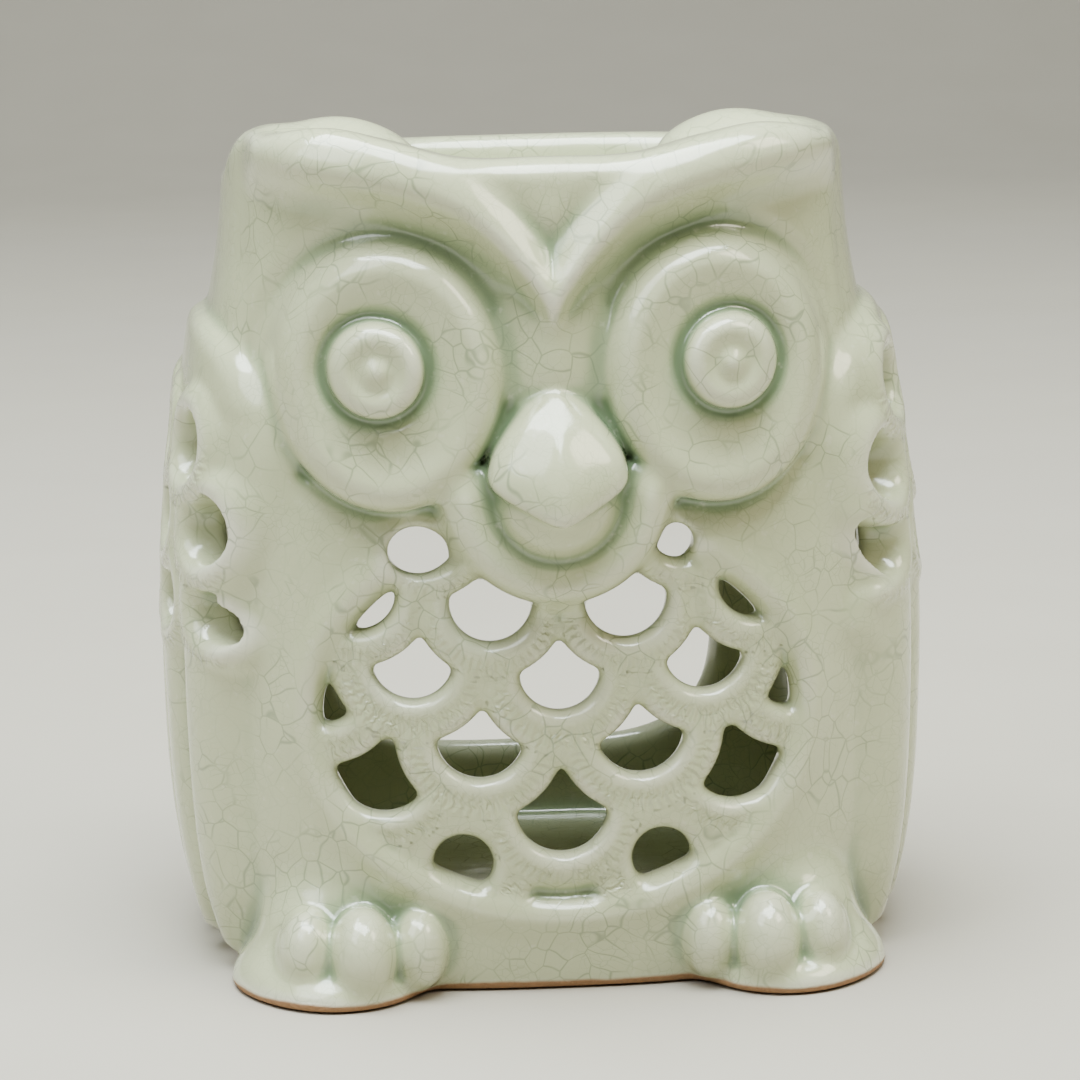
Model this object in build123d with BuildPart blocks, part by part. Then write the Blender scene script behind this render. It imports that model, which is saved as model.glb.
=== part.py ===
"""An owl-shaped oil warmer in celadon stoneware, in millimetres.

A hollow owl stands on a flat slab. A tealight goes in through the doorway in its back and shines
out through the pierced belly and wings, and it warms the oil basin that is let into the top.
The owl looks along -Y, +Z is up, and the origin is the middle of the base, on the table.
Every node is one piece of clay. The pieces are luted together with slip before the firing, so
each one is cut to the face that it sits on. Left is -X and right is +X, as the viewer sees them.
"""

import os
from math import cos, pi, radians, sin

from build123d import *

os.makedirs("parts", exist_ok=True)

# Driving dimensions
HEIGHT = 118.0  # to the top of the ear tufts
RIM_HEIGHT = 110.0  # the rim of the basin, at the back and the sides
WALL = 5.0  # cast wall of the two shell halves
SLAB = 4.5  # floor of the tealight chamber
SLAB_EDGE = 1.2  # unglazed edge of the slab that shows under the walls

# The body's plan is a soft oblong that is widest at the belly:
# height, half width, reach to the front, reach to the back
BODY_SECTIONS = (
    (0.0, 45.5, 38.5, 43.0),
    (12.0, 48.0, 40.0, 45.0),
    (34.0, 50.0, 41.0, 46.0),
    (56.0, 50.0, 41.0, 46.0),
    (72.0, 48.3, 40.0, 44.5),
    (88.0, 45.8, 38.5, 42.0),
    (100.0, 43.6, 37.0, 40.0),
    (HEIGHT, 42.4, 36.0, 38.5),
)
SQUARENESS = 2.7  # 2 is an ellipse, more is nearer a rectangle
OUTLINE_POINTS = 28
SEAM_Y = 2.0  # the front and back halves meet here, under the wings

# Pierced belly panel
BELLY_Z = 38.5
BELLY_HALF_WIDTH = 33.5
BELLY_HALF_HEIGHT = 26.5
BELLY_INSET = 1.2  # the panel lies this far behind the body's face, and its scales come out to it
BELLY_ROWS = 6
BELLY_TOP_ROW_Z = 63.8
BELLY_ROW_PITCH = 9.6
SCALE_RADII = (8.7, 10.4, 11.4, 11.6, 11.0, 10.0)  # by row, from the top
SCALE_HOLE_RADII = (4.6, 5.5, 5.4, 5.9, 6.1, 4.0)
SCALE_PITCHES = (17.0, 18.1, 19.7, 21.7, 24.1, 27.0)
ROW_SAG = 0.0026  # the rows sag in the middle, each by this much more than the row above
SCALE_GROOVE = 0.6  # between one scale and the next
BELLY_MARGIN = 1.6  # solid clay left round the pierced part
SMALLEST_HOLE = 7.0  # a hole with less area than this, in square mm, is not cut

# Two holes over the panel, beside the ruff: x, z, half width, half height
UPPER_HOLES = ((-18.6, 61.5, 4.0, 3.2), (15.8, 61.9, 2.5, 2.4))

# Eyes
EYE_X = 22.2
EYE_Z = 84.8
EYE_HALF_WIDTH = 15.4
EYE_HALF_HEIGHT = 17.8
EYE_THICKNESS = 3.6  # at the rolled edge
EYE_EDGE_WIDTH = 2.4
EYE_DISH = 1.0  # the disc is this much thinner inside its rolled edge
PUPIL_RADIUS = 6.2
PUPIL_X = 23.6
PUPIL_Z = 86.2
PUPIL_THICKNESS = 3.4  # above the dish
PUPIL_RING = (2.4, 3.8)  # inner and outer radius of the groove in the pupil
PUPIL_RING_DEPTH = 1.4

# Beak and the ruff under it
# Beak sections: height, half width, reach to the front
BEAK_SECTIONS = (
    (84.5, 3.0, 40.5),
    (80.0, 7.6, 44.5),
    (73.5, 10.4, 48.5),
    (68.0, 7.8, 49.6),
    (64.0, 2.6, 48.6),
)
BEAK_ROOT_Y = -35.5
BEAK_FLANK = 0.62  # the flanks pass through this share of the half width
BEAK_FLANK_REACH = 0.62  # and through this share of the way from the root to the ridge
JAW_CENTRE = (0.0, -40.5, 67.2)
JAW_RADII = (8.8, 7.4, 8.6)
RUFF_Z = 69.5
RUFF_RADIUS = 12.8
RUFF_TUBE = 2.7
RUFF_Y = -40.5
RUFF_HALF_ANGLE = 70  # either side of straight down

# Brows and forehead
BROW_RELIEF = 3.2
CREST_RELIEF = 1.8
BROW_LOWER_EDGE = ((0, 86), (4.2, 95), (10.5, 102.5), (19, 107), (29, 109.5), (36, 110))
BROW_UPPER_EDGE = ((36, 115.5), (29, 114.5), (18, 112), (10, 107.5), (4, 101), (0, 97.5))
CREST_CORNERS = ((-10.5, 112), (10.5, 112), (0, 103.5))
CREST_CORNER_RADIUS = 0.8

# The front half rises above the rim into a low forehead with an ear at each corner
FRONT_TOP_EDGE = ((0, 113.2), (12, 113.6), (21, 116.0), (30, HEIGHT), (38, 117.2), (46, 112))
SIDE_TOP_EDGE = (
    (-60, 119),
    (-24, 119),
    (-14, 115.5),
    (-6, 111),
    (SEAM_Y, RIM_HEIGHT),
    (60, RIM_HEIGHT),
)
TUFT_CENTRE = (31.0, -17.0, 110.5)
TUFT_RADII = (12.0, 9.0, 6.5)
TUFT_BASE_Z = 106.0

# Wings
WING_RELIEF = 3.6
FEATHER_RELIEF = 3.0
FEATHER_WEB = 1.2  # clay left between one flight feather and the next
WING_HOLE_RADIUS = 4.6
WING_SCALE_RADIUS = 8.6
WING_SCALE_PITCH = 15.0
WING_ROW_PITCH = 10.5
WING_ROWS = 3
WING_FIRST_SCALES_Y = (-18.0, -25.0, -28.2)  # of the scale nearest the face, by row from the top
WING_TOP_ROW_Z = 73.5
RIGHT_WING_LIFT = 6.0  # the holes of the right wing were cut this much higher
COVERT_EDGE = (
    (-30, 46),
    (-32.5, 60),
    (-28, 76),
    (-15, 87),
    (0, 90.5),
    (15, 86),
    (26, 73),
    (28, 58),
    (26, 46),
)
SCALLOP_DEPTH = 4.0  # of the coverts' lower edge, one scallop over each flight feather
FEATHERS = 5
FEATHER_SHOULDER = 8.0  # the tips taper over this height
FEATHER_TOP_Z = 52.0
FEATHER_TOP_SPAN = (-31.5, 27.5)
FEATHER_BOTTOM_Z = 2.2
FEATHER_BOTTOM_SPAN = (-25.5, 23.0)
FEATHER_GAP = 1.2

# Feet
FOOT_X = 28.0
FOOT_Y = -31.5
FOOT_REACH = 13.8  # of the slab, forward of the foot's centre
FOOT_RADII = (13.2, 11.0, 12.0)
FOOT_CENTRE_Z = 4.0
TOES = 3
HEEL = (26.2, -28.0)  # the toes fan out about this point
TOE_DISTANCE = 13.0
FIRST_TOE_ANGLE = -35
TOE_ANGLE_STEP = 40
TOE_Z = 7.0
TOE_RADII = (4.2, 5.0, 6.3)

# Doorway in the back
DOOR_HALF_WIDTH = 29.0
DOOR_SILL = 15.5
DOOR_TOP = 62.0
DOOR_SILL_ROUND = 9.0
DOOR_ARCH_ROUND = 26.0

# Oil basin sections: height, and how far the outline lies inside the walls' inner face
BASIN_OUTSIDE = ((89.5, 14.0), (100.0, 3.5), (108.0, -1.0))
BASIN_INSIDE = ((93.0, 15.0), (101.0, 7.0), (108.0, 3.5))

FAR = 80.0  # longer than anything that is cut


def plan(half_width, front, back):
    """Points of the body's outline at one height."""
    points = []
    for step in range(OUTLINE_POINTS):
        turn = 2 * pi * step / OUTLINE_POINTS
        c, s = cos(turn), sin(turn)
        x = half_width * abs(c) ** (2 / SQUARENESS) * (1 if c > 0 else -1)
        y = abs(s) ** (2 / SQUARENESS) * (back if s > 0 else -front)
        points.append((x, y))
    return points


def body_form(grow=0.0, sections=BODY_SECTIONS):
    """The body as a solid lump, with its outline grown outwards by grow."""
    with BuildPart() as form:
        for height, half_width, front, back in sections:
            with BuildSketch(Plane.XY.offset(height)):
                with BuildLine():
                    Spline(*plan(half_width + grow, front + grow, back + grow), periodic=True)
                make_face()
        loft()
    return form.part


def mirrored(part):
    """The same piece on the other side of the owl."""
    return mirror(part, about=Plane.YZ)


def save(part, name):
    """Labels one piece and writes its STEP file."""
    part.label = name
    export_step(part, f"parts/{name}.step")


def belly_row(row):
    """Centres (x, z) of one row of belly scales, which spreads downwards and sags in the middle."""
    count = 4 if row % 2 else 5
    middle = BELLY_TOP_ROW_Z - BELLY_ROW_PITCH * row
    offsets = [(i - (count - 1) / 2) * SCALE_PITCHES[row] for i in range(count)]
    return [(x, middle + ROW_SAG * row * x * x) for x in offsets]


def wing_row(row, lift):
    """Centres (y, z) of one row of wing scales, raised by lift."""
    height = WING_TOP_ROW_Z - WING_ROW_PITCH * row + lift
    count = 3 if row == 0 else 4
    return [(WING_FIRST_SCALES_Y[row] + i * WING_SCALE_PITCH, height) for i in range(count)]


def ellipsoid(centre, radii):
    """A solid ball stretched to three radii."""
    with BuildPart() as ball:
        Sphere(1)
        scale(by=radii)
    return ball.part.moved(Location(centre))


def wing_holes(lift):
    """Side-view faces of the holes that go through one wing and the wall behind it."""
    with BuildSketch(Plane.YZ) as holes:
        for row in reversed(range(WING_ROWS)):
            centres = wing_row(row, lift)
            if row < WING_ROWS - 1:
                with Locations(*centres):
                    Circle(WING_SCALE_RADIUS, mode=Mode.SUBTRACT)
            with Locations(*centres):
                Circle(WING_HOLE_RADIUS)
        with BuildLine():
            Spline(*COVERT_EDGE)
            Line(COVERT_EDGE[-1], COVERT_EDGE[0])
        make_face(mode=Mode.INTERSECT)
    return [face for face in holes.sketch.faces() if face.area > SMALLEST_HOLE]


def covered_scales(ring):
    """Front-view faces of the belly scales drawn ring wide, or of their holes if ring is None.

    The rows are drawn from the lowest up, and each row hides part of the row below it.
    """
    with BuildSketch(Plane.XZ) as drawn:
        for row in reversed(range(BELLY_ROWS)):
            radius = SCALE_RADII[row]
            with Locations(*belly_row(row)):
                if row < BELLY_ROWS - 1:
                    Circle(radius, mode=Mode.SUBTRACT)
                Circle(SCALE_HOLE_RADII[row] if ring is None else radius - ring)
        with Locations((0, BELLY_Z)):
            margin = BELLY_MARGIN if ring is None else BELLY_MARGIN / 2
            Ellipse(BELLY_HALF_WIDTH - margin, BELLY_HALF_HEIGHT - margin, mode=Mode.INTERSECT)
        if ring is None:
            with Locations((0, RUFF_Z)):
                Circle(RUFF_RADIUS + RUFF_TUBE, mode=Mode.SUBTRACT)
    return drawn.sketch.faces()


def scallop(index):
    """End points of one scallop of the coverts' lower edge, from the back forwards."""
    back_y, front_y = COVERT_EDGE[-1][0], COVERT_EDGE[0][0]
    step = (front_y - back_y) / FEATHERS
    return back_y + index * step, back_y + (index + 1) * step


def feather_outline(index):
    """Corners (y, z) of one flight feather: level at the top, pointed at the bottom."""
    corners = []
    for front, back in (FEATHER_TOP_SPAN, FEATHER_BOTTOM_SPAN):
        pitch = (back - front) / FEATHERS
        start = front + index * pitch + FEATHER_GAP / 2
        corners.append((start, start + pitch - FEATHER_GAP))
    (top_start, top_end), (start, end) = corners
    shoulder = FEATHER_BOTTOM_Z + FEATHER_SHOULDER
    tip = ((start + end) / 2, FEATHER_BOTTOM_Z)
    return [(top_start, FEATHER_TOP_Z), (start, shoulder), tip, (end, shoulder), (top_end, FEATHER_TOP_Z)]


# The body's outer form, the hollow inside it and the raised forms that thin pieces are cut from
CORE = body_form()
HOLLOW = body_form(-WALL)
BELLY_FACE = body_form(-BELLY_INSET)
EYE_FORM = body_form(EYE_THICKNESS)
DISH_FORM = body_form(EYE_THICKNESS - EYE_DISH)
PUPIL_FORM = body_form(EYE_THICKNESS - EYE_DISH + PUPIL_THICKNESS)
RING_FORM = body_form(EYE_THICKNESS - EYE_DISH + PUPIL_THICKNESS - PUPIL_RING_DEPTH)
BROW_FORM = body_form(BROW_RELIEF)
CREST_FORM = body_form(CREST_RELIEF)
WING_FORM = body_form(WING_RELIEF)
FEATHER_FORM = body_form(FEATHER_RELIEF)
WEB_FORM = body_form(FEATHER_WEB)


def wing(lift):
    """The coverts of one wing, on the right side, with its holes raised by lift."""
    with BuildPart() as coverts:
        add(covert_prism.part)
        add(WING_FORM, mode=Mode.INTERSECT)
        add(CORE, mode=Mode.SUBTRACT)
        for face in wing_holes(lift):
            extrude(face, amount=FAR, dir=(1, 0, 0), mode=Mode.SUBTRACT)
    return coverts.part


# Base slab: the chamber's floor, with an unglazed edge that carries the walls and the feet
base_reaches = BODY_SECTIONS[0][1:]
with BuildPart() as base_slab:
    with BuildSketch():
        with BuildLine():
            Spline(*plan(*base_reaches), periodic=True)
        make_face()
        for side in (-1, 1):
            with Locations((side * FOOT_X, FOOT_Y)):
                Ellipse(FOOT_RADII[0], FOOT_REACH)
    extrude(amount=SLAB_EDGE)
    with BuildSketch(Plane.XY.offset(SLAB_EDGE)):
        with BuildLine():
            Spline(*plan(*(reach - WALL for reach in base_reaches)), periodic=True)
        make_face()
    extrude(amount=SLAB - SLAB_EDGE)
save(base_slab.part, "base_slab")


# The shell before it is divided into halves: hollow, open at the top, and pierced at both sides
with BuildPart() as shell:
    add(CORE)
    add(HOLLOW, mode=Mode.SUBTRACT)
    with BuildSketch():
        Rectangle(3 * FAR, 3 * FAR)
    extrude(amount=SLAB_EDGE, mode=Mode.SUBTRACT)
    with BuildSketch(Plane.XZ.offset(FAR)):
        with BuildLine():
            mirrored_edge = [(-x, z) for x, z in reversed(FRONT_TOP_EDGE[1:])]
            top_edge = Spline(*mirrored_edge, *FRONT_TOP_EDGE)
            corner_z = FRONT_TOP_EDGE[-1][1]
            Polyline(top_edge @ 1, (FAR, corner_z), (FAR, 2 * FAR))
            Polyline((FAR, 2 * FAR), (-FAR, 2 * FAR), (-FAR, corner_z), top_edge @ 0)
        make_face()
    extrude(amount=-2 * FAR, mode=Mode.SUBTRACT)
    with BuildSketch(Plane.YZ.offset(-FAR)):
        with BuildLine():
            slope = Spline(*SIDE_TOP_EDGE[1:-1], tangents=((1, 0), (1, 0)))
            back, front = SIDE_TOP_EDGE[-1], SIDE_TOP_EDGE[0]
            Polyline(slope @ 1, back, (back[0], 2 * FAR), (front[0], 2 * FAR), front, slope @ 0)
        make_face()
    extrude(amount=2 * FAR, mode=Mode.SUBTRACT)
    for face in wing_holes(RIGHT_WING_LIFT):
        extrude(face, amount=FAR, dir=(1, 0, 0), mode=Mode.SUBTRACT)
    for face in wing_holes(0):
        extrude(face, amount=FAR, dir=(-1, 0, 0), mode=Mode.SUBTRACT)


# Belly opening outline, used for the panel and for the hole that it fills
with BuildPart() as belly_plug:
    with BuildSketch(Plane.XZ):
        with Locations((0, BELLY_Z)):
            Ellipse(BELLY_HALF_WIDTH, BELLY_HALF_HEIGHT)
    extrude(amount=FAR)


with BuildPart() as upper_holes:
    with BuildSketch(Plane.XZ):
        for x, z, half_width, half_height in UPPER_HOLES:
            with Locations((x, z)):
                Ellipse(half_width, half_height)
        with Locations((0, RUFF_Z)):
            Circle(RUFF_RADIUS + RUFF_TUBE, mode=Mode.SUBTRACT)
    extrude(amount=FAR)


with BuildPart() as front_shell:
    add(shell.part)
    with BuildSketch(Plane.XZ.offset(-SEAM_Y)):
        Rectangle(3 * FAR, 4 * FAR)
    extrude(amount=-FAR, mode=Mode.SUBTRACT)
    add(belly_plug.part, mode=Mode.SUBTRACT)
    add(upper_holes.part, mode=Mode.SUBTRACT)
save(front_shell.part, "front_shell")


with BuildPart() as back_shell:
    add(shell.part)
    with BuildSketch(Plane.XZ.offset(-SEAM_Y)):
        Rectangle(3 * FAR, 4 * FAR)
    extrude(amount=FAR, mode=Mode.SUBTRACT)
    door_height = DOOR_TOP - DOOR_SILL
    with BuildSketch(Plane.XZ.offset(-SEAM_Y)) as doorway:
        with Locations((0, DOOR_SILL + door_height / 2)):
            Rectangle(2 * DOOR_HALF_WIDTH, door_height)
        fillet(doorway.vertices().group_by(Axis.Y)[0], DOOR_SILL_ROUND)
        fillet(doorway.vertices().group_by(Axis.Y)[-1], DOOR_ARCH_ROUND)
    extrude(amount=-FAR, mode=Mode.SUBTRACT)
save(back_shell.part, "back_shell")


# Oil basin: an oval bowl whose rim meets the inside of the walls
basin_rim = [reach - WALL for reach in BODY_SECTIONS[-2][1:]]
with BuildPart() as oil_basin:
    for levels, how in ((BASIN_OUTSIDE, Mode.ADD), (BASIN_INSIDE, Mode.SUBTRACT)):
        for height, shrink in levels:
            with BuildSketch(Plane.XY.offset(height)):
                with BuildLine():
                    Spline(*plan(*(reach - shrink for reach in basin_rim)), periodic=True)
                make_face()
        loft(mode=how)
    add(HOLLOW, mode=Mode.INTERSECT)
save(oil_basin.part, "oil_basin")


# Belly panel: overlapping scales, each with a hole that the scales above it partly cover
raised_scales = []
for outline in covered_scales(SCALE_GROOVE):
    with BuildPart() as raised_scale:
        extrude(outline, amount=FAR, dir=(0, -1, 0))
        add(CORE, mode=Mode.INTERSECT)
    raised_scales.append(raised_scale.part)
with BuildPart() as belly_panel:
    add(belly_plug.part)
    add(BELLY_FACE, mode=Mode.INTERSECT)
    add(raised_scales)
    add(HOLLOW, mode=Mode.SUBTRACT)
    for outline in covered_scales(None):
        if outline.area > SMALLEST_HOLE:
            extrude(outline, amount=FAR, dir=(0, -1, 0), mode=Mode.SUBTRACT)
    add(upper_holes.part, mode=Mode.SUBTRACT)
save(belly_panel.part, "belly_panel")


# Beak: a hooked shield with a ridge down the middle
with BuildPart() as beak:
    for height, half_width, reach in BEAK_SECTIONS:
        flank_x = BEAK_FLANK * half_width
        flank_y = BEAK_ROOT_Y - BEAK_FLANK_REACH * (reach + BEAK_ROOT_Y)
        root_left, root_right = (-half_width, BEAK_ROOT_Y), (half_width, BEAK_ROOT_Y)
        with BuildSketch(Plane.XY.offset(height)):
            with BuildLine():
                Spline(root_left, (-flank_x, flank_y), (0, -reach), (flank_x, flank_y), root_right)
                Line(root_right, root_left)
            make_face()
    loft()
    add(CORE, mode=Mode.SUBTRACT)
save(beak.part, "beak")


# Eye discs: dished, with a rolled edge
with BuildPart() as right_eye_disc:
    with BuildSketch(Plane.XZ):
        with Locations((EYE_X, EYE_Z)):
            Ellipse(EYE_HALF_WIDTH, EYE_HALF_HEIGHT)
    extrude(amount=FAR)
    add(EYE_FORM, mode=Mode.INTERSECT)
    add(CORE, mode=Mode.SUBTRACT)
with BuildPart() as eye_dish:
    with BuildSketch(Plane.XZ):
        with Locations((EYE_X, EYE_Z)):
            Ellipse(EYE_HALF_WIDTH - EYE_EDGE_WIDTH, EYE_HALF_HEIGHT - EYE_EDGE_WIDTH)
    extrude(amount=FAR)
    add(DISH_FORM, mode=Mode.SUBTRACT)
with right_eye_disc:
    add(eye_dish.part, mode=Mode.SUBTRACT)
    add(beak.part, mode=Mode.SUBTRACT)
save(right_eye_disc.part, "right_eye_disc")
save(mirrored(right_eye_disc.part), "left_eye_disc")


# Pupils: thick buttons with one ring pressed into them
with BuildPart() as right_pupil:
    with BuildSketch(Plane.XZ):
        with Locations((PUPIL_X, PUPIL_Z)):
            Circle(PUPIL_RADIUS)
    extrude(amount=FAR)
    add(PUPIL_FORM, mode=Mode.INTERSECT)
    add(DISH_FORM, mode=Mode.SUBTRACT)
with BuildPart() as pupil_ring:
    with BuildSketch(Plane.XZ):
        with Locations((PUPIL_X, PUPIL_Z)):
            Circle(PUPIL_RING[1])
            Circle(PUPIL_RING[0], mode=Mode.SUBTRACT)
    extrude(amount=FAR)
    add(RING_FORM, mode=Mode.SUBTRACT)
with right_pupil:
    add(pupil_ring.part, mode=Mode.SUBTRACT)
save(right_pupil.part, "right_pupil")
save(mirrored(right_pupil.part), "left_pupil")


# Lower beak: a ball of clay that shows under the hook
with BuildPart() as lower_beak:
    add(ellipsoid(JAW_CENTRE, JAW_RADII))
    add(CORE, mode=Mode.SUBTRACT)
    add(beak.part, mode=Mode.SUBTRACT)
save(lower_beak.part, "lower_beak")


# Ruff: a roll of clay bent round the lower beak
with BuildPart() as chin_ruff:
    with BuildLine(Plane.XZ.offset(-RUFF_Y)) as ruff_path:
        CenterArc((0, RUFF_Z), RUFF_RADIUS, 270 - RUFF_HALF_ANGLE, 2 * RUFF_HALF_ANGLE)
    with BuildSketch(Plane(origin=ruff_path.line @ 0, z_dir=ruff_path.line % 0)):
        Circle(RUFF_TUBE)
    sweep()
    for end in (ruff_path.line @ 0, ruff_path.line @ 1):
        with Locations(end):
            Sphere(RUFF_TUBE)
    add(CORE, mode=Mode.SUBTRACT)
    add(lower_beak.part, mode=Mode.SUBTRACT)
save(chin_ruff.part, "chin_ruff")


# Brows: two ridges that rise from the bridge of the beak to the ears
with BuildPart() as right_brow:
    with BuildSketch(Plane.XZ):
        with BuildLine():
            lower_edge = Spline(*BROW_LOWER_EDGE)
            upper_edge = Spline(*BROW_UPPER_EDGE)
            Line(lower_edge @ 1, upper_edge @ 0)
            Line(upper_edge @ 1, lower_edge @ 0)
        make_face()
    extrude(amount=FAR)
    add(BROW_FORM, mode=Mode.INTERSECT)
    add(CORE, mode=Mode.SUBTRACT)
save(right_brow.part, "right_brow")
save(mirrored(right_brow.part), "left_brow")


# Forehead crest, between the brows
with BuildPart() as forehead_crest:
    with BuildSketch(Plane.XZ) as crest_outline:
        Polygon(*CREST_CORNERS, align=None)
        fillet(crest_outline.vertices(), CREST_CORNER_RADIUS)
    extrude(amount=FAR)
    add(CREST_FORM, mode=Mode.INTERSECT)
    add(CORE, mode=Mode.SUBTRACT)
save(forehead_crest.part, "forehead_crest")


# Ear tufts: lumps that fill the two raised corners, behind the wall and on the basin's rim
with BuildPart() as right_ear_tuft:
    add(ellipsoid(TUFT_CENTRE, TUFT_RADII))
    add(HOLLOW, mode=Mode.INTERSECT)
    with BuildSketch(Plane.XY.offset(TUFT_BASE_Z)):
        Rectangle(3 * FAR, 3 * FAR)
    extrude(amount=-FAR, mode=Mode.SUBTRACT)
    add(oil_basin.part, mode=Mode.SUBTRACT)
save(right_ear_tuft.part, "right_ear_tuft")
save(mirrored(right_ear_tuft.part), "left_ear_tuft")


# Wings: pierced coverts above, flight feathers below. Each is cut from a form that follows the body
with BuildPart() as covert_prism:
    with BuildSketch(Plane.YZ):
        with BuildLine():
            Spline(*COVERT_EDGE)
            edge_z = COVERT_EDGE[0][1]
            for index in range(FEATHERS):
                start, end = scallop(index)
                ThreePointArc((start, edge_z), ((start + end) / 2, edge_z - SCALLOP_DEPTH), (end, edge_z))
        make_face()
    extrude(amount=FAR)


save(wing(RIGHT_WING_LIFT), "right_wing")
save(mirrored(wing(0)), "left_wing")


feathers = []
for index in range(FEATHERS):
    with BuildPart() as feather:
        with BuildSketch(Plane.YZ):
            Polygon(*feather_outline(index), align=None)
        extrude(amount=FAR)
        add(FEATHER_FORM, mode=Mode.INTERSECT)
    feathers.append(feather.part)
with BuildPart() as right_flight_feathers:
    with BuildSketch(Plane.YZ):
        web_bottom_z = FEATHER_BOTTOM_Z + FEATHER_SHOULDER
        top_corners = [(y, FEATHER_TOP_Z) for y in FEATHER_TOP_SPAN]
        bottom_corners = [(y, web_bottom_z) for y in reversed(FEATHER_BOTTOM_SPAN)]
        Polygon(*top_corners, *bottom_corners, align=None)
    extrude(amount=FAR)
    add(WEB_FORM, mode=Mode.INTERSECT)
    add(feathers)
    add(CORE, mode=Mode.SUBTRACT)
    add(covert_prism.part, mode=Mode.SUBTRACT)
save(right_flight_feathers.part, "right_flight_feathers")
save(mirrored(right_flight_feathers.part), "left_flight_feathers")


# Feet: a pad on each side of the front, with three balls of clay for toes
with BuildPart() as right_toes:
    for toe in range(TOES):
        angle = radians(FIRST_TOE_ANGLE + toe * TOE_ANGLE_STEP)
        place = (HEEL[0] + TOE_DISTANCE * sin(angle), HEEL[1] - TOE_DISTANCE * cos(angle), TOE_Z)
        add(ellipsoid(place, TOE_RADII))
    with BuildSketch(Plane.XY.offset(SLAB_EDGE)):
        Rectangle(3 * FAR, 3 * FAR)
    extrude(amount=-FAR, mode=Mode.SUBTRACT)
    add(CORE, mode=Mode.SUBTRACT)
save(right_toes.part, "right_toes")
save(mirrored(right_toes.part), "left_toes")


with BuildPart() as right_foot:
    add(ellipsoid((FOOT_X, FOOT_Y, FOOT_CENTRE_Z), FOOT_RADII))
    with BuildSketch(Plane.XY.offset(SLAB_EDGE)):
        Rectangle(3 * FAR, 3 * FAR)
    extrude(amount=-FAR, mode=Mode.SUBTRACT)
    add(CORE, mode=Mode.SUBTRACT)
    add(right_toes.part, mode=Mode.SUBTRACT)
save(right_foot.part, "right_foot")
save(mirrored(right_foot.part), "left_foot")
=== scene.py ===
"""The looks of a hollow celadon owl oil warmer: thick rounded glaze over luted and pierced clay.

The owl is one fired piece, so its visible form is drawn as one signed distance field on a grid. Every
voxel belongs to one CAD piece, and each piece gets its own closed mesh, which shares the vertices along
its seams with its neighbours. Lengths in this file are millimetres until a mesh or a lamp is made.
"""

import math
import bpy
import numpy as np
from mathutils import Matrix, Vector


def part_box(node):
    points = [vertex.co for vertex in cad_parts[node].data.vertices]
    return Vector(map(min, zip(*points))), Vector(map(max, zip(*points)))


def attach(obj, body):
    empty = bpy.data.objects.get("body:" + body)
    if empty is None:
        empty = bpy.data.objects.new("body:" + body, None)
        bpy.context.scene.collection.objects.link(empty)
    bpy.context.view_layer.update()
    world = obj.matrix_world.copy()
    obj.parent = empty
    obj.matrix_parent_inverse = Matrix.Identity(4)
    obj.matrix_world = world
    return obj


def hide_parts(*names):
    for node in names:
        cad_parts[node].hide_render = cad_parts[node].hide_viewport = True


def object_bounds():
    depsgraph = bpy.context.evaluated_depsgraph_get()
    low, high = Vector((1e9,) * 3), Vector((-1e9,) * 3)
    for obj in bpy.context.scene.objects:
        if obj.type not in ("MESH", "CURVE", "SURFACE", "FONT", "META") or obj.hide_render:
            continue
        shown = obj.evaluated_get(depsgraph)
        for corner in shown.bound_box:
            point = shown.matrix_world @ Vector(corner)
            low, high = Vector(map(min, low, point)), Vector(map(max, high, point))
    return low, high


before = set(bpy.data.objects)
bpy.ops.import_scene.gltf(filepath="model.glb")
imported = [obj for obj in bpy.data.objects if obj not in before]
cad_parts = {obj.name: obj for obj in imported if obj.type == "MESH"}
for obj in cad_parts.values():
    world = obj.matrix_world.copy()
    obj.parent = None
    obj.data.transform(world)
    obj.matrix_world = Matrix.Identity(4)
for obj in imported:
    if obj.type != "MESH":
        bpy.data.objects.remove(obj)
cad_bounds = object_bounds()

MM = 0.001
VOXEL = 0.5
GRID_MARGIN = 3.0


def box(node):
    """(centre, half size) of a CAD node."""
    low, high = (np.array(corner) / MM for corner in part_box(node))
    return (low + high) / 2, (high - low) / 2


WHOLE_LOW, WHOLE_HIGH = (np.array(corner) / MM for corner in cad_bounds)
HEIGHT = WHOLE_HIGH[2]
BACK_REACH = box("back_shell")[0][1] + box("back_shell")[1][1]
FRONT_REACH = box("front_shell")[1][1] - box("front_shell")[0][1]
BODY_HALF_WIDTH = box("front_shell")[1][0]

# The body's outline by height, each as a share of its greatest: height, width, front, back
BODY_PROFILE = (
    (0.0, 0.91, 0.94, 0.935),
    (0.10, 0.96, 0.975, 0.98),
    (0.29, 1.0, 1.0, 1.0),
    (0.475, 1.0, 1.0, 1.0),
    (0.61, 0.966, 0.975, 0.967),
    (0.745, 0.916, 0.94, 0.913),
    (0.85, 0.872, 0.90, 0.87),
    (1.0, 0.848, 0.878, 0.837),
)
SQUARENESS = 2.7
WALL = 5.0
FLOOR_Z = box("base_slab")[0][2] + box("base_slab")[1][2]
CLAY_EDGE_Z = 1.2
WOBBLE = 0.22

# The rim: level at the back, rising at the front into a forehead with an ear at each corner
RIM_Z = box("back_shell")[0][2] + box("back_shell")[1][2]
FOREHEAD = ((0, 3.3), (12, 3.6), (21, 6.0), (29, 7.8), (37, 7.0), (46, 3.0))  # x, height above the rim
EAR_START_Y, EAR_FULL_Y = -3.0, -15.0
EAR_DISH = 2.4
EAR_HUMP = 1.3
TUFT_SHIFT = (0, 0, -1.5)
TUFT_RADII = (12, 9.5, 8.5)

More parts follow.
